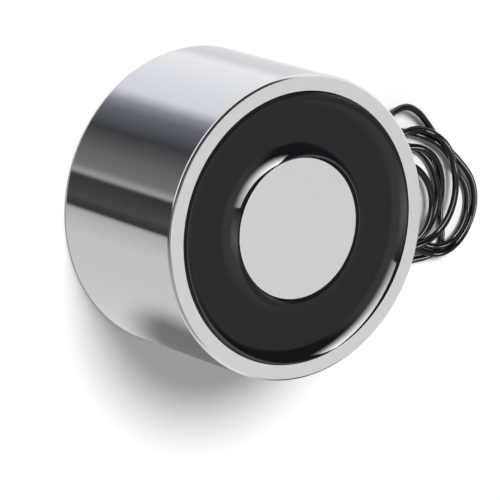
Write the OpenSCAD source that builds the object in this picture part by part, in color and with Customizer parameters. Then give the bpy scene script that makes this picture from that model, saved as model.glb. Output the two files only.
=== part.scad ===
// Round holding electromagnet: a turned steel pot with a centre pole, a coil potted in its
// groove, and two loosely coiled supply leads. It stands on its mounting face, working face up.

/* [Pot body] */
// Outside diameter of the steel pot
body_d = 50; // [46:0.5:60]
// Height from the mounting face to the working face
body_h = 30; // [26:0.5:40]
// Thickness of the rim wall
wall_t = 2.7; // [2:0.1:3.5]
// Diameter of the centre pole
core_d = 23; // [18:0.5:25]
// Thickness of the back behind the groove
back_t = 6; // [4.5:0.5:8]
// Chamfer on the two outer edges
edge_chamfer = 0.4; // [0.2:0.1:0.8]

/* [Mounting hole] */
// Tapping diameter of the blind threaded hole in the back
tap_d = 4.2; // [3.3:0.1:6.8]
// Depth of the full tapping bore
tap_depth = 10; // [6:0.5:15]
// Leg of the chamfer at the hole's mouth
mouth_chamfer = 0.7; // [0.3:0.1:1]
// Included angle of the drill point at the hole's blind end
drill_angle = 118; // [90:1:140]

/* [Bobbin and winding] */
// Wall thickness of the bobbin's tube
bobbin_wall = 0.9; // [0.6:0.1:1.5]
// Thickness of each bobbin flange
flange_t = 1; // [0.7:0.1:1.5]
// Radial play between the bobbin and the pole
bobbin_play = 0.15; // [0.05:0.05:0.3]
// Radial play between the flanges and the rim wall
flange_play = 0.3; // [0.1:0.05:0.5]
// Thickness of the insulating tape round the winding
tape_t = 0.3; // [0.1:0.05:0.6]
// Play between the bobbin, the winding and the tape
layer_gap = 0.05; // [0.02:0.01:0.1]

/* [Potting] */
// Depth of the potting from the bobbin to the working face
potting_t = 4; // [3:0.5:6]
// Depth of the dished surface below the working face
dish_depth = 1.4; // [0.6:0.1:2]
// Radius of the concave rise to the pole and to the rim
meniscus_r = 4; // [2.5:0.5:5]
// Bond line between the potting and the steel
bond_gap = 0.02; // [0.01:0.01:0.05]

/* [Leads] */
// Outside diameter of one insulated lead
lead_d = 1.2; // [1:0.1:1.4]
// Clear gap between the two leads where they pass the wall
lead_gap = 0.1; // [0.05:0.05:0.2]
// Bend radius of a lead behind the wall
bend_r = 2.4; // [2:0.1:2.8]
// Outside diameter of the sleeve over a soldered splice
splice_d = 1.9; // [1.6:0.1:2.4]
// Length of a splice sleeve round the groove
splice_len = 11; // [6:1:16]
// Clear gap all round a splice sleeve
splice_play = 0.2; // [0.1:0.05:0.3]
// Diameter of a tinned wire end
tip_d = 0.6; // [0.4:0.05:0.8]
// Length of a tinned wire end
tip_len = 5.5; // [4:0.5:8]

/* [Lead sleeve] */
// Wall thickness of the sleeve that lines the lead hole
sleeve_wall = 0.45; // [0.3:0.05:0.6]
// Radial play of the leads in the sleeve
sleeve_play = 0.05; // [0.02:0.01:0.1]
// Radial play of the sleeve in the lead hole
hole_play = 0.05; // [0.02:0.01:0.1]
// Length of the sleeve outside the rim wall
sleeve_out = 3; // [1.5:0.5:5]
// Distance of the sleeve's inner end from the leads' bend
sleeve_inset = 0.1; // [0.05:0.05:0.3]
// Rounding of the sleeve's outer end
sleeve_round = 0.25; // [0.1:0.05:0.3]

/* [Lead coil] */
// Sideways distance of the coil from the lead hole's axis
coil_x = 16; // [14:0.5:24]
// Distance of the coil's centre from the rim wall
coil_y = 19; // [17:0.5:26]
// Outside diameter of the coil
coil_d = 28; // [24:0.5:30]
// Diameter of the space inside the coil
coil_eye_d = 10; // [8:0.5:15]
// Height of the coil
coil_h = 4.4; // [3:0.2:6]

/* [Hidden] */
$fn = 96;

// Overshoot of a cut past the face it opens
cut = 1;
// Sides of a lead's plain tube
lead_sides = 8;
// Steps of a lead's bend behind the wall
bend_steps = 4;
// Touching gap between pieces of one lead
touch = 0.05;

body_r = body_d / 2;
core_r = core_d / 2;
groove_r = body_r - wall_t;
bobbin_bore_r = core_r + bobbin_play;
bobbin_tube_r = bobbin_bore_r + bobbin_wall;
flange_r = groove_r - flange_play;
bobbin_h = body_h - back_t - potting_t;
winding_space_h = bobbin_h - 2 * flange_t;
splice_ring_r = groove_r - splice_play - splice_d / 2;
tape_r = splice_ring_r - splice_d / 2 - splice_play;
winding_r = tape_r - tape_t - layer_gap;
winding_bore_r = bobbin_tube_r + layer_gap;
lead_z = back_t + flange_t + splice_play + splice_d / 2;
lead_r = lead_d / 2;
lead_x = lead_r + lead_gap / 2;
sleeve_bore_r = lead_x + lead_r + sleeve_play;
sleeve_r = sleeve_bore_r + sleeve_wall;
lead_hole_r = sleeve_r + hole_play;
coil_r = coil_d / 2;
coil_eye_r = coil_eye_d / 2;

// A lead turns from the hole's axis to run round the groove: the angle where that bend ends
bend_end = asin((lead_x + bend_r) / (splice_ring_r + bend_r));
bend_start_y = (splice_ring_r + bend_r) * cos(bend_end);
splice_angle = splice_len / splice_ring_r * 180 / PI;

// Routes of the free leads: x from the hole's axis, y from the rim wall, z from the mounting face
lead_a_route = [[-0.65, 4.5, 8], [-0.7, 7, 7.5], [-0.7, 9.5, 6.5], [-0.6, 12, 5.2], [-0.5, 14.5, 4],
    [-0.4, 16.6, 3.2], [-0.3, 18.3, 2.7], [0, 19.7, 2.4], [0.6, 20.7, 2.2], [1.4, 21.4, 2.1]];
lead_b_route = [[0.65, 4.5, 8], [0.8, 6.5, 7.4], [1.2, 8.5, 6.2], [1.6, 10.5, 4.6], [2, 12.3, 3.2],
    [2.4, 13.6, 2.4]];
lead_a_tail_route = [[27.2, 10.2, 0.7], [27.5, 8.2, 0.7], [27.8, 6.2, 0.7], [28.1, 4.2, 0.7],
    [28.4, 2.2, 0.7]];
lead_b_tail_route = [[24.3, 6.8, 1.8], [24.6, 5, 1.2], [24.9, 3.2, 0.8], [25.2, 1.4, 0.7], [25.4, -0.6, 0.7]];

function at_wall(route) = [for (p = route) p + [0, body_r, 0]];

// Inner stretch of a lead on one side, from its splice round the bend into the sleeve
function bend_point(side, t) = [
    side * (lead_x + bend_r * (1 - cos(t))),
    bend_start_y - bend_r * sin(t),
    lead_z
];
function splice_mouth(side, back_off) =
    bend_point(side, 90 - bend_end) + back_off * [side * cos(bend_end), -sin(bend_end), 0];
function inner_route(side) = concat(
    [splice_mouth(side, bend_r / 2)],
    [for (i = [0:bend_steps]) bend_point(side, (90 - bend_end) * (1 - i / bend_steps))],
    [[side * lead_x, body_r, lead_z], [side * lead_x, body_r + sleeve_out, lead_z]]
);

function unit(v) = v / norm(v);
function tangent(route, i) = unit(route[min(i + 1, len(route) - 1)] - route[max(i - 1, 0)]);
function across(t) = unit(cross(t, [0, 0, 1]));
function ring_point(p, t, r, a) = p + r * (cos(a) * across(t) + sin(a) * cross(across(t), t));

// Plain tube swept along a route's points, closed at both ends
module tube(route, r) {
    rings = len(route);
    points = [
        for (i = [0:rings - 1])
        for (s = [0:lead_sides - 1])
        ring_point(route[i], tangent(route, i), r, (s + 0.5) * 360 / lead_sides)
    ];
    walls = [
        for (i = [0:rings - 2])
        for (s = [0:lead_sides - 1])
        let (next = (s + 1) % lead_sides, a = i * lead_sides, b = a + lead_sides)
        [a + s, b + s, b + next, a + next]
    ];
    first_cap = [for (s = [0:lead_sides - 1]) s];
    last_cap = [for (s = [lead_sides - 1:-1:0]) (rings - 1) * lead_sides + s];
    polyhedron(points, concat([first_cap, last_cap], walls), convexity = 6);
}

// Straight round piece that carries on from the end of a route
module end_piece(route, d, length) {
    last = route[len(route) - 1];
    t = unit(last - route[len(route) - 2]);
    translate(last + touch * t)
        rotate([0, 90, atan2(t[1], t[0])])
            cylinder(d = d, h = length, $fn = 32);
}

// Ring of rectangular section about the axis
module ring(inner_r, outer_r, z, h) {
    translate([0, 0, z])
        difference() {
            cylinder(r = outer_r, h = h);
            translate([0, 0, -cut])
                cylinder(r = inner_r, h = h + 2 * cut);
        }
}

// Turned pot with its pole, seen as half a section
module pot_section() {
    polygon([
        [0, 0],
        [body_r - edge_chamfer, 0],
        [body_r, edge_chamfer],
        [body_r, body_h - edge_chamfer],
        [body_r - edge_chamfer, body_h],
        [groove_r, body_h],
        [groove_r, back_t],
        [core_r, back_t],
        [core_r, body_h],
        [0, body_h]
    ]);
}

// Tapped hole with its countersunk mouth and drill point
module mounting_hole() {
    tap_r = tap_d / 2;
    point_h = tap_r / tan(drill_angle / 2);
    translate([0, 0, -cut])
        cylinder(r = tap_r, h = tap_depth + cut);
    translate([0, 0, tap_depth])
        cylinder(r1 = tap_r, r2 = 0, h = point_h);
    translate([0, 0, -cut])
        cylinder(r1 = tap_r + mouth_chamfer + cut, r2 = tap_r, h = mouth_chamfer + cut);
}

module pot_body() {
    color("gainsboro")
        difference() {
            rotate_extrude()
                pot_section();
            mounting_hole();
            translate([0, core_r + bobbin_play, lead_z])
                rotate([-90, 0, 0])
                    cylinder(r = lead_hole_r, h = body_r);
        }
}

module bobbin() {
    color("ivory")
        translate([0, 0, back_t])
            rotate_extrude()
                polygon([
                    [bobbin_bore_r, 0],
                    [flange_r, 0],
                    [flange_r, flange_t],
                    [bobbin_tube_r, flange_t],
                    [bobbin_tube_r, bobbin_h - flange_t],
                    [flange_r, bobbin_h - flange_t],
                    [flange_r, bobbin_h],
                    [bobbin_bore_r, bobbin_h]
                ]);
}

module winding() {
    color("peru")
        ring(winding_bore_r, winding_r, back_t + flange_t, winding_space_h - layer_gap);
}

module winding_tape() {
    color("khaki")
        ring(tape_r - tape_t, tape_r, back_t + flange_t, winding_space_h - layer_gap);
}

// Sleeve over a soldered joint, curved to lie in the groove beside the winding
module splice(side) {
    start = side > 0 ? 90 - bend_end - splice_angle : 90 + bend_end;
    lead_in = asin((bend_r / 2 + touch) / splice_ring_r);
    color("dimgray")
        translate([0, 0, lead_z])
            rotate([0, 0, start - side * lead_in])
                rotate_extrude(angle = splice_angle)
                    translate([splice_ring_r, 0])
                        circle(d = splice_d, $fn = 32);
}

module splice_a() {
    splice(-1);
}

module splice_b() {
    splice(1);
}

// Potting with a flat floor and a concave rise to the pole and to the rim
module potting() {
    rise_w = sqrt(2 * meniscus_r * dish_depth - dish_depth * dish_depth);
    dish_z = potting_t - dish_depth + meniscus_r;
    color([0.05, 0.05, 0.055])
        translate([0, 0, body_h - potting_t])
            rotate_extrude()
                difference() {
                    translate([core_r + bond_gap, 0])
                        square([groove_r - core_r - 2 * bond_gap, potting_t]);
                    translate([core_r + rise_w, dish_z])
                        circle(r = meniscus_r);
                    translate([groove_r - rise_w, dish_z])
                        circle(r = meniscus_r);
                    translate([core_r + rise_w, potting_t - dish_depth])
                        square([groove_r - core_r - 2 * rise_w, meniscus_r]);
                }
}

// Insulating sleeve in the lead hole, rounded at its outer end
module lead_sleeve() {
    inner_y = bend_start_y + sleeve_inset;
    length = body_r + sleeve_out - inner_y;
    color([0.08, 0.08, 0.08])
        translate([0, inner_y, lead_z])
            rotate([-90, 0, 0])
                rotate_extrude()
                    union() {
                        translate([sleeve_bore_r, 0])
                            square([sleeve_wall, length - sleeve_round]);
                        translate([sleeve_bore_r, 0])
                            square([sleeve_wall - sleeve_round, length]);
                        translate([sleeve_r - sleeve_round, length - sleeve_round])
                            circle(r = sleeve_round);
                    }
}

module lead_a() {
    color([0.06, 0.06, 0.06])
        tube(concat(inner_route(-1), at_wall(lead_a_route)), lead_r);
}

module lead_b() {
    color([0.06, 0.06, 0.06])
        tube(concat(inner_route(1), at_wall(lead_b_route)), lead_r);
}

// Outer shape of the loosely coiled leads
module lead_coil() {
    edge_r = coil_h / 2;
    color([0.06, 0.06, 0.06])
        translate([coil_x, body_r + coil_y, 0])
            rotate_extrude()
                union() {
                    translate([coil_eye_r + edge_r, edge_r])
                        circle(r = edge_r);
                    translate([coil_r - edge_r, edge_r])
                        circle(r = edge_r);
                    translate([coil_eye_r + edge_r, 0])
                        square([coil_r - coil_eye_r - coil_h, coil_h]);
                }
}

module lead_a_tail() {
    color([0.06, 0.06, 0.06])
        tube(at_wall(lead_a_tail_route), lead_r);
}

module lead_b_tail() {
    color([0.06, 0.06, 0.06])
        tube(at_wall(lead_b_tail_route), lead_r);
}

module lead_a_tip() {
    color("silver")
        end_piece(at_wall(lead_a_tail_route), tip_d, tip_len);
}

module lead_b_tip() {
    color("silver")
        end_piece(at_wall(lead_b_tail_route), tip_d, tip_len);
}

pot_body();
bobbin();
winding();
winding_tape();
splice_a();
splice_b();
potting();
lead_sleeve();
lead_a();
lead_b();
lead_coil();
lead_a_tail();
lead_b_tail();
lead_a_tip();
lead_b_tip();
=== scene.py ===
# %% [markdown]
# # A round holding electromagnet
# A turned steel pot with a pole in its middle, a coil cast into the groove between them, and two thin
# leads that lie beside it in a loose coil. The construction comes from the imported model, which is
# loaded first and stays as it is. The steps below give every piece its finish. Sizes of the object are
# written in millimetres and multiplied by MM where Blender, which works in metres, takes them over.

# %% Load the frame
import math

import bmesh
import bpy
import numpy as np
from mathutils import Matrix, Vector


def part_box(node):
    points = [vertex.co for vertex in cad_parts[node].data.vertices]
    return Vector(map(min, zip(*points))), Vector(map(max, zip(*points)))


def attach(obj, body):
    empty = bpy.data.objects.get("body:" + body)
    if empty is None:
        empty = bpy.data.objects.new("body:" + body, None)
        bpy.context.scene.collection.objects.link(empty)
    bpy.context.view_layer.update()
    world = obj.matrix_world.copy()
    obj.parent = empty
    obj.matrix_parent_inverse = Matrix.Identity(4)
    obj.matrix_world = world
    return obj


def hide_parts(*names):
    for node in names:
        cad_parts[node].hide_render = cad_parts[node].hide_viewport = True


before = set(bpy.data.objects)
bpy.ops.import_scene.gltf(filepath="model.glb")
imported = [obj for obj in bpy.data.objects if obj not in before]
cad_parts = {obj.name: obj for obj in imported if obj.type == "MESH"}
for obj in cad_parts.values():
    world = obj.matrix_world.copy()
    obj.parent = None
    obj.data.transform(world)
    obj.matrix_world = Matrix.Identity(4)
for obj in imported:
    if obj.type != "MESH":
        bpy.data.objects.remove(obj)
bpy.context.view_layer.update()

MM = 0.001

# %% [markdown]
# ## Camera
# The magnet stands on its mounting face, because on its side it would roll. The picture to match shows it
# lying on its side, so the camera is rolled until the picture's upward direction points across the axis.
# A camera looks along its own -Z with +Y up, so its matrix is three directions and a place. A long lens
# from far away keeps the face nearly an ellipse.

# %% Camera
CAMERA_PLACE = Vector((-237.7, -339.5, 553.4)) * MM
CAMERA_LOOK = Vector((0.3586, 0.4976, -0.7898))
PICTURE_UP = Vector((-0.9147, 0.3561, -0.1910))
SENSOR_W = 36.0
FOCAL_PIXELS = 4183.0
PICTURE_W = 500.0

lens = bpy.data.cameras.new("camera")
lens.sensor_width = SENSOR_W
lens.lens = SENSOR_W * FOCAL_PIXELS / PICTURE_W
camera = bpy.data.objects.new("camera", lens)
bpy.context.scene.collection.objects.link(camera)
back = -CAMERA_LOOK.normalized()
right = PICTURE_UP.cross(back).normalized()
turn = Matrix((right, back.cross(right), back)).transposed()
camera.matrix_world = Matrix.Translation(CAMERA_PLACE) @ turn.to_4x4()
bpy.context.scene.camera = camera
print(f"camera lens {lens.lens:.0f} mm, {CAMERA_PLACE.length / MM:.0f} mm from the mounting face")

# %% [markdown]
# ## The two leads
# Each lead is one flexible wire: it starts at its splice in the groove, bends into the sleeved hole in
# the wall, drops to the table and lies there in about three loose turns. The free stretches repeat the
# points of the solid model. The turns are a loop: every turn has its own centre and radius, and where the
# magnet hides it from the camera the lead moves over from one turn to the next.

# %% Stretches that are not coiled
LEAD_D = 1.2
LEAD_SIDE = 0.65
LEAD_Z = 8.15
BEND_R = 2.4
SPLICE_RING_R = 21.15
SLEEVE_OUT = 3.0
BEND_POINTS = 7
wall_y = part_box("pot_body")[1].y / MM

LEAD_A_ROUTE = [(-0.65, 4.5, 8), (-0.7, 7, 7.5), (-0.7, 9.5, 6.5), (-0.6, 12, 5.2), (-0.5, 14.5, 4),
                (-0.4, 16.6, 3.2), (-0.3, 18.3, 2.7), (0, 19.7, 2.4), (0.6, 20.7, 2.2), (1.4, 21.4, 2.1)]
LEAD_B_ROUTE = [(0.65, 4.5, 8), (0.8, 6.5, 7.4), (1.2, 8.5, 6.2), (1.6, 10.5, 4.6), (2, 12.3, 3.2),
                (2.4, 13.6, 2.4)]
LEAD_A_TAIL = [(27.2, 10.2, 0.7), (27.5, 8.2, 0.7), (27.8, 6.2, 0.7), (28.1, 4.2, 0.7), (28.4, 2.2, 0.7)]
LEAD_B_TAIL = [(24.3, 6.8, 1.8), (24.6, 5, 1.2), (24.9, 3.2, 0.8), (25.2, 1.4, 0.7), (25.4, -0.6, 0.7)]


def from_wall(route):
    """Route points with y measured from the rim wall, as points of the frame in millimetres."""
    return [np.array((x, y + wall_y, z), float) for x, y, z in route]


def inner_run(side):
    """The lead from its splice round the bend and out to the sleeve's mouth."""
    bend_end = math.asin((LEAD_SIDE + BEND_R) / (SPLICE_RING_R + BEND_R))
    bend_y = (SPLICE_RING_R + BEND_R) * math.cos(bend_end)
    bend = []
    for t in np.linspace(math.pi / 2 - bend_end, 0, BEND_POINTS):
        x = side * (LEAD_SIDE + BEND_R * (1 - math.cos(t)))
        bend.append(np.array((x, bend_y - BEND_R * math.sin(t), LEAD_Z)))
    from_splice = np.array((side * math.cos(bend_end), -math.sin(bend_end), 0)) * BEND_R / 2
    mouth = from_wall([(side * LEAD_SIDE, 0, LEAD_Z), (side * LEAD_SIDE, SLEEVE_OUT, LEAD_Z)])
    return [bend[0] + from_splice] + bend + mouth


print("lead a starts at", inner_run(-1)[0].round(2), "and lead b at", inner_run(1)[0].round(2))

# %% Turns of the coil
LEAD_A_TURNS = [(19.9, 47.8, 8.4), (15.1, 39.8, 8.7), (15.5, 41.4, 8.4)]
LEAD_B_TURNS = [(20, 47.6, 7), (16.2, 38.8, 7.2), (13.8, 41.8, 9.9)]
FIRST_ANGLE = 120
LEAD_A_LAST_ANGLE = -640
LEAD_B_LAST_ANGLE = -720
HIDDEN_FROM = -40
HIDDEN_SPAN = 160
TURN_STEP = 20
FULL_TURN = 360


def turn_points(turns, last_angle):
    """Points of a clockwise coil, and the angle that the lead has gone round at each one."""
    angles = range(FIRST_ANGLE, last_angle - 1, -TURN_STEP)
    points = []
    for angle in angles:
        past = HIDDEN_FROM - angle
        number = max(past // FULL_TURN, 0)
        share = min(max((past - FULL_TURN * number) / HIDDEN_SPAN, 0), 1)
        ease = share * share * (3 - 2 * share)
        here = np.array(turns[number])
        after = np.array(turns[min(number + 1, len(turns) - 1)])
        x, y, radius = here + (after - here) * ease
        x += radius * math.cos(math.radians(angle))
        y += radius * math.sin(math.radians(angle))
        points.append((x, y))
    return points, [FIRST_ANGLE - angle for angle in angles]


for name, turns, last in (("a", LEAD_A_TURNS, LEAD_A_LAST_ANGLE), ("b", LEAD_B_TURNS, LEAD_B_LAST_ANGLE)):
    print("lead", name, "has", len(turn_points(turns, last)[0]), "points in its turns")

# %% [markdown]
# The plan of each lead is one smooth line of close points, from the splice to the bare end. Every point
# also has a place in the order of laying: the angle gone round so far, with the second lead half a turn
# later than the first. The end of the first lead runs out under the coil, so it counts as laid before it.

# %% Smooth line
LINE_STEP = 0.3


def smooth_line(points):
    """Close points on a smooth curve through the given ones, and the place of each between them."""
    line = []
    places = []
    for i in range(len(points) - 1):
        before = points[max(i - 1, 0)]
        a, b = points[i], points[i + 1]
        after = points[min(i + 2, len(points) - 1)]
        length = np.linalg.norm(b - a)
        leave = (b - before) / np.linalg.norm(b - before) * length
        arrive = (after - a) / np.linalg.norm(after - a) * length
        count = max(2, round(length / LINE_STEP))
        for t in np.arange(count) / count:
            line.append((2*t**3 - 3*t**2 + 1) * a + (t**3 - 2*t**2 + t) * leave
                        + (3*t**2 - 2*t**3) * b + (t**3 - t**2) * arrive)
            places.append(i + t)
    return np.array(line + [points[-1]]), np.array(places + [len(points) - 1])


print("points along the first tail:", len(smooth_line(from_wall(LEAD_A_TAIL))[0]))

# %% Plan of the leads
LEAD_A_ARCH = [(4.8, 48.4), (8.1, 50.1), (11.1, 52.3)]
LEAD_B_ARCH = [(4.2, 42.8), (6.4, 46.7), (9.2, 49.8), (12.6, 52)]
LEAD_A_RUN_OFF = [(21.8, 48.2), (24.3, 48), (26.5, 47.4), (27.9, 45.8), (28.1, 43.8), (27.6, 41), (27.2, 38)]
LEAD_B_RUN_OFF = [(23.6, 38.2), (23.8, 34.8)]
HALF_TURN = 180
LAID_FIRST = -180
LAID_LAST = 1080


def plan_lead(side, route, arch, turns, last_angle, run_off, tail, tail_order):
    """The lead's line, the index where it is free to lie, and the order in which its points are laid."""
    start = inner_run(side) + from_wall(route)
    coil, travel = turn_points(turns, last_angle)
    laid = [np.array((x, y, LEAD_D / 2)) for x, y in arch + coil + run_off]
    line, places = smooth_line(start + laid + from_wall(tail))
    first_turn = len(start) + len(arch)
    order = np.interp(places, np.arange(first_turn, first_turn + len(coil)), travel)
    if side > 0:
        order += HALF_TURN
    order[places > first_turn + len(coil)] = tail_order
    return line, np.searchsorted(places, len(start) - 1), order


line_a, free_a, order_a = plan_lead(-1, LEAD_A_ROUTE, LEAD_A_ARCH, LEAD_A_TURNS, LEAD_A_LAST_ANGLE,
                                    LEAD_A_RUN_OFF, LEAD_A_TAIL, LAID_FIRST)
line_b, free_b, order_b = plan_lead(1, LEAD_B_ROUTE, LEAD_B_ARCH, LEAD_B_TURNS, LEAD_B_LAST_ANGLE,
                                    LEAD_B_RUN_OFF, LEAD_B_TAIL, LAID_LAST)
print("points planned:", len(line_a), "and", len(line_b))

# %% [markdown]
# A lead that crosses another lies on it, and comes down again in a long low hump. A simulation could drop
# the leads, but a rule of rest keeps the turns where they were planned. Each point rests on the table, or
# on the strands that were laid before it and are nearer than one diameter. Along the lead the height
# falls only by a gentle slope. This runs for a few rounds, because a raised point can raise the ones above
# it. A short running mean then rounds the humps.

# %% Which point rests on which
SAME_STRAND = 24

split = len(line_a)
lines = np.concatenate((line_a, line_b))
orders = np.concatenate((order_a, order_b))
index = np.arange(len(lines))
second_lead = index >= split
free = np.where(second_lead, index > split + free_b, index > free_a)
strand = (np.abs(index[:, None] - index) < SAME_STRAND) & (second_lead[:, None] == second_lead)
apart = np.linalg.norm(lines[:, None, :2] - lines[None, :, :2], axis=2)
rests = (apart < LEAD_D) & (orders[:, None] > orders) & ~strand & free[:, None] & free
lift = np.sqrt(np.maximum(LEAD_D ** 2 - apart ** 2, 0))
print("points that rest on another strand:", rests.any(1).sum(), "of", len(lines))

# %% Lay the leads
FALL = 0.14
LAYING_ROUNDS = 8
SETTLE_POINTS = 11


def ease_down(heights, line):
    """Raise points beside a high one until the height falls by no more than the slope."""
    run = np.linalg.norm(np.diff(line[:, :2], axis=0), axis=1) * FALL
    for i in range(1, len(heights)):
        heights[i] = max(heights[i], heights[i - 1] - run[i - 1])
    for i in range(len(heights) - 2, -1, -1):
        heights[i] = max(heights[i], heights[i + 1] - run[i])


heights = lines[:, 2].copy()
loose = (slice(free_a, split), slice(split + free_b, None))
for laying_round in range(LAYING_ROUNDS):
    heights = np.maximum(heights, np.where(rests, heights + lift, 0).max(1))
    for part in loose:
        ease_down(heights[part], lines[part])
        heights[part.start] = lines[part.start, 2]
settle = np.ones(SETTLE_POINTS) / SETTLE_POINTS
for part in loose:
    padded = np.pad(heights[part], SETTLE_POINTS // 2, mode="edge")
    lines[part, 2] = np.convolve(padded, settle, "valid")
    print(f"highest of the loose stretch: {lines[part, 2].max():.1f} mm")

# %% [markdown]
# Where a lead comes down to the table it bends in height and in plan at once. A wider running mean rounds
# that place, and fades out along the lead on both sides of it.

# %% Ease the landings
LANDING_POINTS = 24
LANDING_MEAN = 25

lead_lines = {"lead_a": lines[:split], "lead_b": lines[split:]}
mean = np.ones(LANDING_MEAN) / LANDING_MEAN
share = 1 - np.abs(np.arange(-LANDING_POINTS, LANDING_POINTS + 1)) / LANDING_POINTS
for (name, line), landing in zip(lead_lines.items(), (free_a, free_b)):
    near = slice(landing - LANDING_POINTS, landing + LANDING_POINTS + 1)
    eased = np.stack([np.convolve(along_axis, mean, "same") for along_axis in line.T], axis=1)
    moved = share[:, None] * (eased - line)[near]
    line[near] += moved
    length = np.linalg.norm(np.diff(line, axis=0), axis=1).sum()
    print(f"{name}: {length:.1f} mm long, eased by up to {np.linalg.norm(moved, axis=1).max():.2f} mm")

# %% [markdown]
# The insulation is a tube of even thickness. A mesh could be swept along the line, but a curve with a round
# bevel does just that and keeps its line for measuring. One open spline follows all points of a lead.

# %% Draw the leads
BEVEL_STEPS = 4


def draw_lead(name, line):
    """A curve of one open spline along the line, as thick as the lead."""
    curve = bpy.data.curves.new(name + "_wire", "CURVE")
    curve.dimensions = "3D"
    curve.bevel_depth = LEAD_D / 2 * MM
    curve.bevel_resolution = BEVEL_STEPS
    curve.use_fill_caps = True
    spline = curve.splines.new("POLY")
    spline.points.add(len(line) - 1)
    for point, place in zip(spline.points, line):
        point.co = (*(place * MM), 1)
    spline.use_smooth = True
    lead = bpy.data.objects.new(name + "_wire", curve)
    bpy.context.scene.collection.objects.link(lead)
    print(f"{lead.name}: {len(spline.points)} points")
    return lead


lead_a = draw_lead("lead_a", lead_lines["lead_a"])
lead_b = draw_lead("lead_b", lead_lines["lead_b"])

# %% [markdown]
# ## Tools for the pieces
# The steel, the resin and the sleeve are all round, so each starts as half a section: a few points joined
# by edges, spun once round its axis. Cylinders and booleans could give the same shapes, but a spun section
# has no thin stray faces, which a mirror finish would show. A full spin closes on itself, doubles on the
# axis are merged, an edge that lies on the axis has no face and goes, and the normals are worked out again
# because a spin can leave them pointing inwards.

# %% Section and spin
SPIN_STEPS = 180
SHARP_ANGLE = math.radians(30)
MERGE = 1e-7


def spin_section(points, axis=(0, 0, 1), centre=(0, 0, 0), steps=SPIN_STEPS):
    """A closed body of revolution, from (radius, height) points of its section in millimetres."""
    bm = bmesh.new()
    axis = Vector(axis)
    outwards = Vector((1, 0, 0))
    verts = [bm.verts.new(Vector(centre) + (outwards * r + axis * h) * MM) for r, h in points]
    edges = [bm.edges.new((verts[i - 1], verts[i])) for i in range(len(verts))]
    bmesh.ops.spin(bm, geom=verts + edges, cent=centre, axis=axis, angle=2 * math.pi, steps=steps,
                   use_merge=True)
    bmesh.ops.remove_doubles(bm, verts=bm.verts, dist=MERGE)
    bmesh.ops.dissolve_degenerate(bm, edges=bm.edges, dist=MERGE)
    bmesh.ops.delete(bm, geom=[e for e in bm.edges if e.is_wire], context="EDGES")
    bmesh.ops.recalc_face_normals(bm, faces=bm.faces)
    print("spun", len(bm.faces), "faces")
    return bm


def arc(centre, radius, first, last, steps):
    """Points of an arc in a section, between two angles in degrees."""
    angles = np.radians(np.linspace(first, last, steps + 1))
    return [(centre[0] + radius * math.cos(a), centre[1] + radius * math.sin(a)) for a in angles]


def finish_piece(bm, name, *materials):
    """The piece as an object, smooth apart from its sharp edges, riding on the one body."""
    mesh = bpy.data.meshes.new(name)
    bm.to_mesh(mesh)
    bm.free()
    for face in mesh.polygons:
        face.use_smooth = True
    mesh.set_sharp_from_angle(angle=SHARP_ANGLE)
    for material in materials:
        mesh.materials.append(material)
    piece = bpy.data.objects.new(name, mesh)
    bpy.context.scene.collection.objects.link(piece)
    flatten = piece.modifiers.new("flat_faces", "WEIGHTED_NORMAL")
    flatten.keep_sharp = True
    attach(piece, "root")
    print(f"{name}: {len(mesh.polygons)} faces")
    return piece


# %% [markdown]
# ## Shared surface grain
# No real surface is even: rolled, ground, cast and moulded skins all have a fine grain, and only its size,
# direction and depth differ. Each material could have a noise of its own, but one node group says it once.
# It stretches the object's own coordinates, reads a noise there, and gives a value between two limits and
# a height for bump.

# %% Grain group
NOISE_LOW = 0.3
NOISE_HIGH = 0.7

grain = bpy.data.node_groups.new("surface_grain", "ShaderNodeTree")
for socket, kind in (("Stretch", "NodeSocketVector"), ("Detail", "NodeSocketFloat"),
                     ("Low", "NodeSocketFloat"), ("High", "NodeSocketFloat")):
    grain.interface.new_socket(socket, in_out="INPUT", socket_type=kind)
for socket in ("Value", "Height"):
    grain.interface.new_socket(socket, in_out="OUTPUT", socket_type="NodeSocketFloat")
group_in = grain.nodes.new("NodeGroupInput")
group_out = grain.nodes.new("NodeGroupOutput")
place = grain.nodes.new("ShaderNodeTexCoord")
stretched = grain.nodes.new("ShaderNodeVectorMath")
stretched.operation = "MULTIPLY"
noise = grain.nodes.new("ShaderNodeTexNoise")
noise.inputs["Scale"].default_value = 1.0
limits = grain.nodes.new("ShaderNodeMapRange")
limits.inputs["From Min"].default_value = NOISE_LOW
limits.inputs["From Max"].default_value = NOISE_HIGH
grain.links.new(place.outputs["Object"], stretched.inputs[0])
grain.links.new(group_in.outputs["Stretch"], stretched.inputs[1])
grain.links.new(stretched.outputs["Vector"], noise.inputs["Vector"])
grain.links.new(group_in.outputs["Detail"], noise.inputs["Detail"])
grain.links.new(noise.outputs["Fac"], limits.inputs["Value"])
grain.links.new(group_in.outputs["Low"], limits.inputs["To Min"])
grain.links.new(group_in.outputs["High"], limits.inputs["To Max"])
grain.links.new(limits.outputs["Result"], group_out.inputs["Value"])
grain.links.new(noise.outputs["Fac"], group_out.inputs["Height"])
print("surface_grain has", len(grain.nodes), "nodes")


# %% Material helpers
def new_material(name, colour, metallic=0.0, **sockets):
    """A material with one Principled shader whose even values sit on the shader's own sockets."""
    material = bpy.data.materials.new(name)
    material.use_nodes = True
    shader = material.node_tree.nodes["Principled BSDF"]
    shader.inputs["Base Color"].default_value = (*colour, 1)
    shader.inputs["Metallic"].default_value = metallic
    for socket, value in sockets.items():
        shader.inputs[socket.replace("_", " ")].default_value = value
    print("material:", name)
    return material


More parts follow.
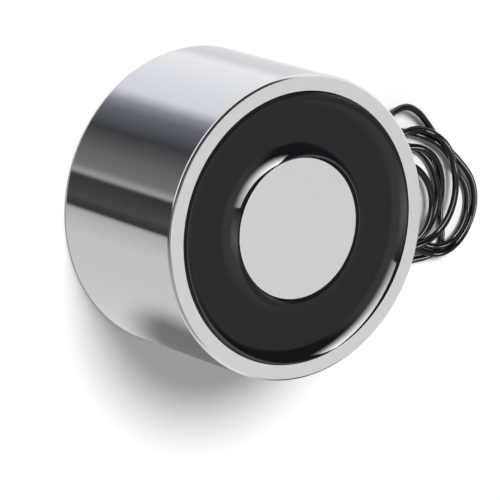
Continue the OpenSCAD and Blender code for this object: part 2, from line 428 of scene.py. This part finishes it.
def place_grain(material, stretch, low, high, detail):
    """Place the grain group in a material, with its own values."""
    node = material.node_tree.nodes.new("ShaderNodeGroup")
    node.node_tree = grain
    node.inputs["Stretch"].default_value = stretch
    node.inputs["Detail"].default_value = detail
    node.inputs["Low"].default_value = low
    node.inputs["High"].default_value = high
    return node


def grain_gloss(material, stretch, low, high, detail=3.0):
    """Let the roughness vary between two limits with the grain."""
    node = place_grain(material, stretch, low, high, detail)
    tree = material.node_tree
    tree.links.new(node.outputs["Value"], tree.nodes["Principled BSDF"].inputs["Roughness"])


def add_bump(material, height, strength, depth):
    """A bump from a height output, of a depth in millimetres."""
    tree = material.node_tree
    bump = tree.nodes.new("ShaderNodeBump")
    bump.inputs["Strength"].default_value = strength
    bump.inputs["Distance"].default_value = depth * MM
    tree.links.new(height, bump.inputs["Height"])
    tree.links.new(bump.outputs["Normal"], tree.nodes["Principled BSDF"].inputs["Normal"])


def grain_bump(material, stretch, detail, strength, depth):
    """Let the surface rise and fall with the grain."""
    node = place_grain(material, stretch, low=0, high=1, detail=detail)
    add_bump(material, node.outputs["Height"], strength, depth)


# %% [markdown]
# ## Steel pot
# The pot is turned from one bar, plated with nickel and ground flat on both faces. The wall is polished
# and mirrors the room, the ground faces are satin. The section is the whole pot: tapped hole, back, wall,
# rim, groove and pole. The wall has extra rows of faces where the lead hole goes.

# %% Nickel finishes
NICKEL = (0.79, 0.79, 0.785)
GROUND = (0.73, 0.724, 0.714)

polished = new_material("polished_nickel", NICKEL, metallic=1.0)
grain_gloss(polished, stretch=(260, 260, 40), low=0.05, high=0.085)
grain_bump(polished, stretch=(90, 90, 12), detail=2.0, strength=0.3, depth=0.1)

ground = new_material("ground_nickel", GROUND, metallic=1.0)
grain_gloss(ground, stretch=(800, 800, 800), low=0.47, high=0.52)
grain_bump(ground, stretch=(900, 14000, 900), detail=4.0, strength=0.15, depth=0.006)

# %% Section of the pot
body_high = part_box("pot_body")[1]
BODY_R = body_high.x / MM
BODY_H = body_high.z / MM
GROOVE_R = 22.3
POLE_R = 11.5
BACK_T = 6.0
EDGE_CHAMFER = 0.4
TAP_R = 2.1
TAP_DEPTH = 10.0
MOUTH_CHAMFER = 0.7
THREAD_PITCH = 0.8
THREAD_DEPTH = 0.4
ROWS_PER_PITCH = 12
DRILL_HALF_ANGLE = math.radians(59)
OUTER_PATCH = 2.6
INNER_PATCH = 2.05
PATCH_ROWS = 6


def wall_rows(radius, first, last, rows):
    """Points up or down a straight wall of the section."""
    return [(radius, z) for z in np.linspace(first, last, rows + 1)]


drill_point = TAP_R / math.tan(DRILL_HALF_ANGLE)
row_count = round((TAP_DEPTH - MOUTH_CHAMFER) / THREAD_PITCH * ROWS_PER_PITCH)
thread_rows = wall_rows(TAP_R, TAP_DEPTH, MOUTH_CHAMFER, row_count)
outer_rows = wall_rows(BODY_R, LEAD_Z - OUTER_PATCH, LEAD_Z + OUTER_PATCH, PATCH_ROWS)
inner_rows = wall_rows(GROOVE_R, LEAD_Z + INNER_PATCH, LEAD_Z - INNER_PATCH, PATCH_ROWS)
pot_section = [
    (0, TAP_DEPTH + drill_point), *thread_rows, (TAP_R + MOUTH_CHAMFER, 0),
    (BODY_R - EDGE_CHAMFER, 0), (BODY_R, EDGE_CHAMFER), *outer_rows, (BODY_R, BODY_H - EDGE_CHAMFER),
    (BODY_R - EDGE_CHAMFER, BODY_H), (GROOVE_R, BODY_H), *inner_rows, (GROOVE_R, BACK_T),
    (POLE_R, BACK_T), (POLE_R, BODY_H), (0, BODY_H),
]
pot = spin_section(pot_section)

# %% [markdown]
# A screw from below holds the magnet, so the hole in the back is tapped. A bump would leave the bore's
# outline straight, and a separate helix would have to be joined to the bore. So the rows of the bore itself
# are pushed outwards along a right-hand helix, less at both ends, where a tap runs out.

# %% Thread
NEAR = 0.01

deepest = 0
for vert in pot.verts:
    place = vert.co / MM
    if math.hypot(place.x, place.y) < TAP_R + NEAR and MOUTH_CHAMFER <= place.z <= TAP_DEPTH:
        turns = place.z / THREAD_PITCH - math.atan2(place.y, place.x) / (2 * math.pi)
        run_out = min(1, (place.z - MOUTH_CHAMFER) / THREAD_PITCH, (TAP_DEPTH - place.z) / THREAD_PITCH)
        cut = THREAD_DEPTH * max(run_out, 0) * (1 - math.cos(2 * math.pi * turns)) / 2
        vert.co.xy *= 1 + cut / TAP_R
        deepest = max(deepest, cut)
print(f"thread cut {deepest:.2f} mm deep at a pitch of {THREAD_PITCH} mm")

# %% [markdown]
# The lead hole crosses two round walls. Cutting it with a boolean would leave long thin faces that show in
# a mirror finish. Instead a small patch is opened in each wall, and the patch's edge is bridged to a circle
# that lies on the same wall. Bridging the two circles makes the bore.

# %% Lead hole
HOLE_R = 1.8
PATCH_SPAN = math.radians(6)
WALL_NEAR = 0.1


def open_patch(bm, radius, half_height):
    """Delete the faces of one wall round the lead hole, and bridge the edge to the hole's circle."""
    patch = []
    for face in bm.faces:
        middle = face.calc_center_median() / MM
        on_wall = abs(math.hypot(middle.x, middle.y) - radius) < WALL_NEAR
        beside = abs(math.atan2(middle.x, middle.y)) < PATCH_SPAN
        if on_wall and beside and abs(middle.z - LEAD_Z) < half_height:
            patch.append(face)
    border = [e for e in {e for f in patch for e in f.edges} if sum(f in patch for f in e.link_faces) == 1]
    bmesh.ops.delete(bm, geom=patch, context="FACES")
    made = bmesh.ops.create_circle(bm, segments=len(border), radius=HOLE_R * MM)
    stand = Matrix.Translation((0, 0, LEAD_Z * MM)) @ Matrix.Rotation(math.pi / 2, 4, "X")
    bmesh.ops.transform(bm, matrix=stand, verts=made["verts"])
    for vert in made["verts"]:
        vert.co.y = math.sqrt((radius * MM) ** 2 - vert.co.x ** 2)
    circle = list({e for v in made["verts"] for e in v.link_edges})
    bmesh.ops.bridge_loops(bm, edges=border + circle)
    return circle


outer_circle = open_patch(pot, BODY_R, OUTER_PATCH)
inner_circle = open_patch(pot, GROOVE_R, INNER_PATCH)
bmesh.ops.bridge_loops(pot, edges=outer_circle + inner_circle)
bmesh.ops.recalc_face_normals(pot, faces=pot.faces)
print("open edges left in the pot:", sum(len(e.link_faces) != 2 for e in pot.edges))

# %% [markdown]
# No turned edge is sharp. The chamfers run into the polished wall with a soft break that catches a thin
# line of light, and the ground face meets the groove with only a trace of one. The section could hold these
# breaks too, but a bevel needs only a width. The two flat faces then get the ground finish, and all else
# keeps the polish.

# %% Edge breaks
WALL_BREAK = 0.18
WALL_BREAK_STEPS = 4
FACE_BREAK = 0.05
FACE_BREAK_STEPS = 3
wall_rings = ((BODY_R, EDGE_CHAMFER), (BODY_R, BODY_H - EDGE_CHAMFER))
face_rings = ((GROOVE_R, BODY_H), (POLE_R, BODY_H))


def on_ring(vert, radius, height):
    """Whether a vertex lies on a ring of the section."""
    place = vert.co / MM
    return abs(math.hypot(place.x, place.y) - radius) < NEAR and abs(place.z - height) < NEAR


for rings, size, steps in ((wall_rings, WALL_BREAK, WALL_BREAK_STEPS),
                           (face_rings, FACE_BREAK, FACE_BREAK_STEPS)):
    edges = [e for e in pot.edges if any(all(on_ring(v, r, h) for v in e.verts) for r, h in rings)]
    bmesh.ops.bevel(pot, geom=edges, offset=size * MM, affect="EDGES", segments=steps, profile=0.5,
                    material=-1)
    print("edges broken by", size, "mm:", len(edges))

# %% Ground faces
FLAT = 0.99
FACE_NEAR = 0.1

for face in pot.faces:
    height = face.calc_center_median().z / MM
    at_an_end = not FACE_NEAR < height < BODY_H - FACE_NEAR
    face.material_index = int(abs(face.normal.z) > FLAT and at_an_end)
steel_pot = finish_piece(pot, "steel_pot", polished, ground)
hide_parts("pot_body")

# %% [markdown]
# ## Cast resin
# The coil is sealed with black resin poured into the groove. As it cures it shrinks in the middle and
# clings to the steel, so it is dished, with a concave rise to the pole and to the rim. Those two rises
# are what catch the light, so their arcs are in the section and not in a bump.

# %% Section of the resin
RESIN_T = 4.0
DISH = 1.4
RISE_R = 4.0
BOND_GAP = 0.02
RISE_STEPS = 20
ARC_BOTTOM = 270

rise_w = math.sqrt(2 * RISE_R * DISH - DISH * DISH)
rise_angle = math.degrees(math.asin(rise_w / RISE_R))
rise_z = BODY_H - DISH + RISE_R
inner_rise = arc((POLE_R + rise_w, rise_z), RISE_R, ARC_BOTTOM - rise_angle, ARC_BOTTOM, RISE_STEPS)
outer_rise = arc((GROOVE_R - rise_w, rise_z), RISE_R, ARC_BOTTOM, ARC_BOTTOM + rise_angle, RISE_STEPS)
inner_rise[0] = (POLE_R + BOND_GAP, BODY_H)
outer_rise[-1] = (GROOVE_R - BOND_GAP, BODY_H)
resin_section = [(POLE_R + BOND_GAP, BODY_H - RESIN_T), *inner_rise, *outer_rise,
                 (GROOVE_R - BOND_GAP, BODY_H - RESIN_T)]
print(f"each rise is {rise_w:.1f} mm wide, on an arc of {rise_angle:.0f} degrees")

# %% Resin ring
RESIN_BLACK = (0.0042, 0.0047, 0.0064)

resin = new_material("cast_resin", RESIN_BLACK, IOR=1.5)
grain_gloss(resin, stretch=(60, 60, 60), low=0.035, high=0.06, detail=2.0)
grain_bump(resin, stretch=(110, 110, 110), detail=1.0, strength=0.12, depth=0.2)
potting = finish_piece(spin_section(resin_section), "cast_potting", resin)
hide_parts("potting")

# %% [markdown]
# ## Leads, sleeve and tips
# The leads have a smooth black plastic skin. Their ends are stripped, and the bare strands are twisted and
# tinned. A short shrink sleeve lines the hole so that its edge can't cut the insulation. Each strand is a
# small disc, spun with a rise at every step, so that the twist is in the mesh and not only in a texture.

# %% Lead insulation
LEAD_BLACK = (0.004, 0.004, 0.0045)

insulation = new_material("lead_plastic", LEAD_BLACK, Specular_IOR_Level=0.35)
grain_gloss(insulation, stretch=(900, 900, 900), low=0.06, high=0.11)
for lead, nodes in ((lead_a, ("lead_a", "lead_coil", "lead_a_tail")), (lead_b, ("lead_b", "lead_b_tail"))):
    lead.data.materials.append(insulation)
    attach(lead, "root")
    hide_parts(*nodes)

# %% Sleeve in the hole
SLEEVE_BORE_R = 1.3
SLEEVE_R = 1.75
SLEEVE_ROUND = 0.25
SLEEVE_ROUND_STEPS = 5
SLEEVE_SPIN = 48
SLEEVE_BLACK = (0.012, 0.012, 0.012)

sleeve_low, sleeve_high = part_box("lead_sleeve")
sleeve_length = (sleeve_high.y - sleeve_low.y) / MM
round_edge = arc((SLEEVE_R - SLEEVE_ROUND, sleeve_length - SLEEVE_ROUND), SLEEVE_ROUND, 0, 90,
                 SLEEVE_ROUND_STEPS)
sleeve_section = [(SLEEVE_BORE_R, 0), (SLEEVE_R, 0), *round_edge, (SLEEVE_BORE_R, sleeve_length)]
shrink = new_material("shrink_sleeve", SLEEVE_BLACK)
grain_gloss(shrink, stretch=(1500, 1500, 1500), low=0.4, high=0.55)
sleeve_body = spin_section(sleeve_section, axis=(0, 1, 0), centre=(0, sleeve_low.y, LEAD_Z * MM),
                           steps=SLEEVE_SPIN)
sleeve = finish_piece(sleeve_body, "hole_sleeve", shrink)
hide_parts("lead_sleeve")

# %% Tinned tips
STRAND_R = 0.1
TIP_LENGTH = 5.5
STRANDS = 6
STRAND_SIDES = 8
TWIST_TURNS = 1.25
TWIST_STEPS = 40
AIM_POINTS = 4
TIN = (0.74, 0.72, 0.68)

tinned = new_material("tinned_copper", TIN, metallic=1.0)
grain_gloss(tinned, stretch=(2500, 2500, 2500), low=0.22, high=0.4)


def turned_to(towards):
    """The turn that points an object's own Z along a direction."""
    return towards.to_track_quat("Z", "Y").to_matrix().to_4x4()


def make_tip(name, line):
    """Twisted strands that carry on from the end of a lead."""
    bm = bmesh.new()
    for i in range(STRANDS + 1):
        off_axis = 2 * STRAND_R * MM if i < STRANDS else 0
        made = bmesh.ops.create_circle(bm, segments=STRAND_SIDES, radius=STRAND_R * MM, cap_ends=True)
        bmesh.ops.translate(bm, verts=made["verts"], vec=(off_axis, 0, 0))
        bmesh.ops.rotate(bm, verts=made["verts"], matrix=Matrix.Rotation(i * 2 * math.pi / STRANDS, 3, "Z"))
        disc = made["verts"] + list({f for v in made["verts"] for f in v.link_faces})
        bmesh.ops.spin(bm, geom=disc, cent=(0, 0, 0), axis=(0, 0, 1), steps=TWIST_STEPS,
                       angle=2 * math.pi * TWIST_TURNS, dvec=(0, 0, TIP_LENGTH / TWIST_STEPS * MM))
    bmesh.ops.recalc_face_normals(bm, faces=bm.faces)
    aim = turned_to(Vector(line[-1] - line[-AIM_POINTS]).normalized())
    bmesh.ops.transform(bm, matrix=Matrix.Translation(Vector(line[-1] * MM)) @ aim, verts=bm.verts)
    tip = finish_piece(bm, name, tinned)
    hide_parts(name.replace("_strands", "_tip"))
    return tip


tip_a = make_tip("lead_a_strands", lead_lines["lead_a"])
tip_b = make_tip("lead_b_strands", lead_lines["lead_b"])

# %% [markdown]
# The sleeve sits on both leads where they leave the wall.

# %% [markdown]
# ## Pieces inside
# The bobbin, the winding, its tape and the splices are sealed in the groove. Their solids have the right
# shape, so they stay, and only get their materials. The rows of the wound wire are a wave texture along
# the axis. At a scale of 1 its bands lie one WAVE_PERIOD apart, so that length over the wire's pitch is
# the scale that gives one band to each row.

# %% Wound wire
COPPER = (0.62, 0.24, 0.09)
WIRE_PITCH = 0.35
WAVE_PERIOD = 2 * math.pi / 20

copper = new_material("enamelled_copper", COPPER, metallic=1.0)
wire_rows = copper.node_tree.nodes.new("ShaderNodeTexWave")
wire_place = copper.node_tree.nodes.new("ShaderNodeTexCoord")
wire_rows.bands_direction = "Z"
wire_rows.inputs["Scale"].default_value = WAVE_PERIOD / (WIRE_PITCH * MM)
copper.node_tree.links.new(wire_place.outputs["Object"], wire_rows.inputs["Vector"])
grain_gloss(copper, stretch=(1200, 1200, 1200), low=0.18, high=0.3)
add_bump(copper, wire_rows.outputs["Fac"], strength=0.8, depth=0.1)

# %% Bobbin, tape and splices
NYLON = (0.72, 0.70, 0.62)
TAPE = (0.62, 0.47, 0.12)
SPLICE_GREY = (0.05, 0.05, 0.055)

nylon = new_material("bobbin_nylon", NYLON)
grain_gloss(nylon, stretch=(700, 700, 700), low=0.42, high=0.55)
tape = new_material("coil_tape", TAPE)
grain_gloss(tape, stretch=(300, 300, 2500), low=0.25, high=0.4)
solder_sleeve = new_material("splice_sleeve", SPLICE_GREY)
grain_gloss(solder_sleeve, stretch=(1500, 1500, 1500), low=0.4, high=0.55)
for node, material in (("bobbin", nylon), ("winding", copper), ("winding_tape", tape),
                       ("splice_a", solder_sleeve), ("splice_b", solder_sleeve)):
    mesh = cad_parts[node].data
    mesh.materials.clear()
    mesh.materials.append(material)
    print(node, "is finished in", material.name)

# %% [markdown]
# ## Studio
# Polished metal shows the room more than itself, so the room is designed: a white sweep all round, with
# dark flags that put the black bands on the wall, and a cool window side. Real panels round the magnet
# would do it too, but a world whose colour depends on the direction alone casts no shadow and stays out of
# the way. Five rings lie on each other: the floor and the lower walls, the eye level, a dark ring, the upper
# walls, and the ceiling. Each panel is an azimuth, a brightness and how cool it is. A ring takes over from
# the one below it between two values of the direction's upward part.

# %% Panels of the room
FLOOR_RING = [(-180, 0.32, 0.1), (-172, 0.17, 0.12), (-154, 0.06, 0.11), (-135, 0.15, 0), (-122, 0.2, 0),
              (-117, 0.42, 0), (-114, 0.04, 0), (-98, 0.08, 0), (-90, 0.03, 0), (-88, 0.5, 0), (-70, 0.66, 0),
              (50, 0.76, 0), (64, 0.98, 0), (80, 0.8, 0.02), (102, 0.77, 0.03), (115, 1, 0.03),
              (170, 0.84, 0.06), (180, 0.32, 0.1)]
EYE_RING = [(-180, 1, 0), (-120, 1, 0), (-112, 0.1, 0), (-95, 0.05, 0), (-80, 0.5, 0), (-40, 0.8, 0),
            (0, 0.9, 0), (20, 0.15, 0), (45, 0.1, 0), (60, 0.8, 0), (80, 1, 0), (180, 1, 0)]
DARK_RING = [(-180, 0.05, 0), (-125, 0.05, 0), (-100, 0.2, 0), (-70, 0.4, 0), (60, 0.4, 0), (90, 0.05, 0),
             (180, 0.05, 0)]
UPPER_RING = [(-180, 0.3, 0), (-125, 0.2, 0), (-100, 1.4, 0), (-85, 1.9, 0), (-50, 0.9, 0), (0, 0.7, 0),
              (40, 0.47, 0), (80, 0.47, 0), (95, 0.06, 0), (140, 0.05, 0), (180, 0.3, 0)]


def panel_ring(tree, angle, panels):
    """Colours round the horizon, from panels in the order of their azimuth in degrees."""
    ramp = tree.nodes.new("ShaderNodeValToRGB")
    stops = ramp.color_ramp.elements
    stops.remove(stops[1])
    for i, (azimuth, level, cool) in enumerate(panels):
        stop = stops.new((azimuth + HALF_TURN) / FULL_TURN) if i else stops[0]
        stop.color = (level * (1 - cool), level * (1 - cool / 2), level * (1 + cool), 1)
    tree.links.new(angle, ramp.inputs["Fac"])
    return ramp.outputs["Color"]


print("panels:", sum(len(ring) for ring in (FLOOR_RING, EYE_RING, DARK_RING, UPPER_RING)))

# %% Blends
COLOUR_A = 6
COLOUR_B = 7
COLOUR_OUT = 2


def share_over(tree, value, start, end):
    """A smooth share from 0 to 1, while a value goes from a start to an end."""
    share = tree.nodes.new("ShaderNodeMapRange")
    share.interpolation_type = "SMOOTHSTEP"
    share.inputs["From Min"].default_value = start
    share.inputs["From Max"].default_value = end
    tree.links.new(value, share.inputs["Value"])
    return share.outputs["Result"]


def product(tree, *values):
    """The product of some outputs of a tree."""
    result = values[0]
    for value in values[1:]:
        times = tree.nodes.new("ShaderNodeMath")
        times.operation = "MULTIPLY"
        tree.links.new(result, times.inputs[0])
        tree.links.new(value, times.inputs[1])
        result = times.outputs["Value"]
    return result


def blend_over(tree, height, low, high, below):
    """Mix from one colour to a second, still to be set, over a range of the direction's upward part."""
    mix = tree.nodes.new("ShaderNodeMix")
    mix.data_type = "RGBA"
    tree.links.new(share_over(tree, height, low, high), mix.inputs["Factor"])
    tree.links.new(below, mix.inputs[COLOUR_A])
    return mix


# %% World
RINGS_ABOVE = ((EYE_RING, -0.55, -0.45), (DARK_RING, 0.15, 0.25), (UPPER_RING, 0.5, 0.6))
CEILING_FROM = 0.84
CEILING_TO = 0.98
CEILING = 0.8

world = bpy.data.worlds.new("studio")
world.use_nodes = True
bpy.context.scene.world = world
room = world.node_tree
direction = room.nodes.new("ShaderNodeTexCoord")
parts = room.nodes.new("ShaderNodeSeparateXYZ")
room.links.new(direction.outputs["Generated"], parts.inputs["Vector"])
upward = parts.outputs["Z"]
azimuth = room.nodes.new("ShaderNodeMath")
azimuth.operation = "ARCTAN2"
room.links.new(parts.outputs["Y"], azimuth.inputs[0])
room.links.new(parts.outputs["X"], azimuth.inputs[1])
round_room = room.nodes.new("ShaderNodeMapRange")
round_room.inputs["From Min"].default_value = -math.pi
round_room.inputs["From Max"].default_value = math.pi
room.links.new(azimuth.outputs["Value"], round_room.inputs["Value"])
panels = panel_ring(room, round_room.outputs["Result"], FLOOR_RING)
for ring, low, high in RINGS_ABOVE:
    upper = blend_over(room, upward, low, high, panels)
    room.links.new(panel_ring(room, round_room.outputs["Result"], ring), upper.inputs[COLOUR_B])
    panels = upper.outputs[COLOUR_OUT]
upper = blend_over(room, upward, CEILING_FROM, CEILING_TO, panels)
upper.inputs[COLOUR_B].default_value = (CEILING, CEILING, CEILING, 1)
panels = upper.outputs[COLOUR_OUT]
print("world nodes:", len(room.nodes))

# %% [markdown]
# The panels are for the reflections. Matt surfaces get an even light from all round, so that a colour comes
# out as it is written, and the camera sees plain white behind the table. Light Path tells these three apart.

# %% Light paths of the world
AMBIENT = 0.33

ray = room.nodes.new("ShaderNodeLightPath")
mirrored = room.nodes["Background"]
room.links.new(panels, mirrored.inputs["Color"])
even = room.nodes.new("ShaderNodeBackground")
even.inputs["Strength"].default_value = AMBIENT
backdrop = room.nodes.new("ShaderNodeBackground")
for plain in (even, backdrop):
    plain.inputs["Color"].default_value = (1, 1, 1, 1)
by_finish = room.nodes.new("ShaderNodeMixShader")
room.links.new(ray.outputs["Is Diffuse Ray"], by_finish.inputs[0])
room.links.new(mirrored.outputs[0], by_finish.inputs[1])
room.links.new(even.outputs[0], by_finish.inputs[2])
by_camera = room.nodes.new("ShaderNodeMixShader")
room.links.new(ray.outputs["Is Camera Ray"], by_camera.inputs[0])
room.links.new(by_finish.outputs[0], by_camera.inputs[1])
room.links.new(backdrop.outputs[0], by_camera.inputs[2])
room.links.new(by_camera.outputs[0], room.nodes["World Output"].inputs["Surface"])
print("the backdrop is plain white, and matt surfaces get", AMBIENT, "from all round")

# %% [markdown]
# ## Lamps
# Four lamps light the set. The key lamp is high and gives the soft shadow. A wide weak lamp over the
# ground face lifts the steel, and a small one the leads. The softbox makes the long highlights on the
# black resin and the leads. A lamp that is linked to some pieces lights nothing else, so the ground steel
# isn't bleached by the softbox beside it. The lamps' sizes and distances are in metres.

# %% Key and face lamps
KEY_FROM = Vector((-0.46, -0.03, 0.89))
KEY_SPREAD = math.radians(23)
KEY_LEVEL = 2.75
FACE_FROM = Vector((0.35, 0.5, 0.79))
FACE_SPREAD = math.radians(70)
FACE_LEVEL = 0.53


def add_lamp(name, kind, energy, *pieces):
    """A lamp, linked to some pieces or else to everything."""
    light = bpy.data.lights.new(name, kind)
    light.energy = energy
    lamp = bpy.data.objects.new(name, light)
    bpy.context.scene.collection.objects.link(lamp)
    if pieces:
        lit = bpy.data.collections.new(name + "_lights")
        for piece in pieces:
            lit.objects.link(piece)
        lamp.light_linking.receiver_collection = lit
    print(name, "lights", [piece.name for piece in pieces] or "everything")
    return lamp


key = add_lamp("key_lamp", "SUN", KEY_LEVEL)
key.data.angle = KEY_SPREAD
key.matrix_world = turned_to(KEY_FROM)
key.visible_glossy = False
face_lamp = add_lamp("face_lamp", "SUN", FACE_LEVEL, steel_pot)
face_lamp.data.angle = FACE_SPREAD
face_lamp.matrix_world = turned_to(FACE_FROM)

# %% Lamp for the leads
LAMP_FAR = 0.5
LEAD_LAMP_POWER = 0.9
LEAD_LAMP_W = 0.15
LEAD_LAMP_AZIMUTH = 57
LEAD_LAMP_ELEVATION = 48


def heading(azimuth, elevation):
    """The unit vector of a direction in degrees."""
    flat = math.cos(math.radians(elevation))
    return Vector((flat * math.cos(math.radians(azimuth)), flat * math.sin(math.radians(azimuth)),
                   math.sin(math.radians(elevation))))


lead_lamp = add_lamp("lead_lamp", "AREA", LEAD_LAMP_POWER, lead_a, lead_b)
lead_lamp.data.size = LEAD_LAMP_W
over_leads = heading(LEAD_LAMP_AZIMUTH, LEAD_LAMP_ELEVATION)
lead_lamp.matrix_world = Matrix.Translation(over_leads * LAMP_FAR) @ turned_to(over_leads)

# %% [markdown]
# The softbox is a rectangle that faces the magnet, with its lower corners in two chosen directions, because
# those set where the highlights on the resin end. Its cloth is brightest at its lower left corner and
# fades along it and upwards, as a lamp behind a cloth does.

# %% Softbox
SOFTBOX_POWER = 21.0
SOFTBOX_H = 0.34
SOFTBOX_MIDDLE = heading(194, 47)
SOFTBOX_LEFT = heading(158, 18)
SOFTBOX_RIGHT = heading(232, 50)

low_left = SOFTBOX_LEFT * (LAMP_FAR / SOFTBOX_LEFT.dot(SOFTBOX_MIDDLE))
low_right = SOFTBOX_RIGHT * (LAMP_FAR / SOFTBOX_RIGHT.dot(SOFTBOX_MIDDLE))
along = (low_right - low_left).normalized()
upwards = SOFTBOX_MIDDLE.cross(along)
softbox = add_lamp("softbox", "AREA", SOFTBOX_POWER, potting, lead_a, lead_b, sleeve)
softbox.data.shape = "RECTANGLE"
softbox.data.size = (low_right - low_left).length
softbox.data.size_y = SOFTBOX_H
softbox.visible_diffuse = False
softbox.matrix_world = (Matrix.Translation((low_left + low_right + upwards * SOFTBOX_H) / 2)
                        @ Matrix((along, upwards, SOFTBOX_MIDDLE)).transposed().to_4x4())
print("softbox", round(softbox.data.size, 2), "m wide")

# %% Cloth of the softbox
FADES_ALONG = (1.7, -0.3)
FADES_UPWARDS = (1, 0)

softbox.data.use_nodes = True
cloth = softbox.data.node_tree
cloth_place = cloth.nodes.new("ShaderNodeNewGeometry")
cloth_axes = cloth.nodes.new("ShaderNodeSeparateXYZ")
cloth.links.new(cloth_place.outputs["Parametric"], cloth_axes.inputs["Vector"])
dims_along = share_over(cloth, cloth_axes.outputs["X"], *FADES_ALONG)
dims_upwards = share_over(cloth, cloth_axes.outputs["Y"], *FADES_UPWARDS)
cloth.links.new(product(cloth, dims_along, dims_upwards), cloth.nodes["Emission"].inputs["Strength"])
print("cloth nodes:", len(cloth.nodes))

# %% [markdown]
# ## Table and card
# The lower side of the wall mirrors the table close by, where the magnet's own shadow lies. The table is
# kept out of the reflections, so a dark card with a painted shadow takes the shadow's place there: a faint
# dark glow that only reflections see. Each of its four fades goes along an axis, from the place where the
# card is clear to where it is full. Both are flat sheets that aren't part of the object.

# %% Paint of the card
CARD_FADES = (("X", 16, 27), ("X", 54, 40), ("Y", -39, -24), ("Y", 16, 4))
CARD_DARK = 0.2

shadow_card_paint = bpy.data.materials.new("shadow_card_paint")
shadow_card_paint.use_nodes = True
paint = shadow_card_paint.node_tree
paint.nodes.remove(paint.nodes["Principled BSDF"])
card_place = paint.nodes.new("ShaderNodeTexCoord")
card_axes = paint.nodes.new("ShaderNodeSeparateXYZ")
paint.links.new(card_place.outputs["Object"], card_axes.inputs["Vector"])
card_shares = [share_over(paint, card_axes.outputs[axis], start * MM, end * MM)
               for axis, start, end in CARD_FADES]
# The card's dark glow is the painted shadow, standing in for the magnet's shadow in the wall's reflection.
painted_shadow_glow = paint.nodes.new("ShaderNodeEmission")
painted_shadow_glow.inputs["Strength"].default_value = CARD_DARK
clear = paint.nodes.new("ShaderNodeBsdfTransparent")
veil = paint.nodes.new("ShaderNodeMixShader")
paint.links.new(product(paint, *card_shares), veil.inputs[0])
paint.links.new(clear.outputs[0], veil.inputs[1])
paint.links.new(painted_shadow_glow.outputs[0], veil.inputs[2])
paint.links.new(veil.outputs[0], paint.nodes["Material Output"].inputs["Surface"])
print("card paint nodes:", len(paint.nodes))

# %% Card and table
CARD_MIDDLE = Vector((36, -11, -1))
CARD_SIZE = Vector((40, 56, 0))
TABLE_MIDDLE = Vector((0, 0, -0.1))
TABLE_SIZE = Vector((6000, 6000, 0))
PAPER_WHITE = (0.93, 0.93, 0.93)


def lay_sheet(name, size, middle, material):
    """A flat rectangle of the stage, which isn't part of the object."""
    bm = bmesh.new()
    bmesh.ops.create_grid(bm, x_segments=1, y_segments=1, size=0.5)
    bmesh.ops.scale(bm, verts=bm.verts, vec=size * MM)
    bmesh.ops.translate(bm, verts=bm.verts, vec=middle * MM)
    mesh = bpy.data.meshes.new(name)
    bm.to_mesh(mesh)
    bm.free()
    mesh.materials.append(material)
    flat_sheet = bpy.data.objects.new(name, mesh)
    bpy.context.scene.collection.objects.link(flat_sheet)
    print(name, "lies", round(-middle.z, 2), "mm under the mounting face")
    return flat_sheet


card = lay_sheet("painted_shadow_card", CARD_SIZE, CARD_MIDDLE, shadow_card_paint)
card.visible_camera = False
card.visible_diffuse = False
card.visible_transmission = False
card.visible_shadow = False
paper = new_material("white_paper", PAPER_WHITE, Specular_IOR_Level=0.0)
grain_gloss(paper, stretch=(400, 400, 400), low=0.9, high=1.0)
table = lay_sheet("table", TABLE_SIZE, TABLE_MIDDLE, paper)
table.visible_glossy = False

# %% [markdown]
# ## View
# The picture uses the Standard view, which leaves colours as they are written.

# %% View
bpy.context.scene.view_settings.view_transform = "Standard"
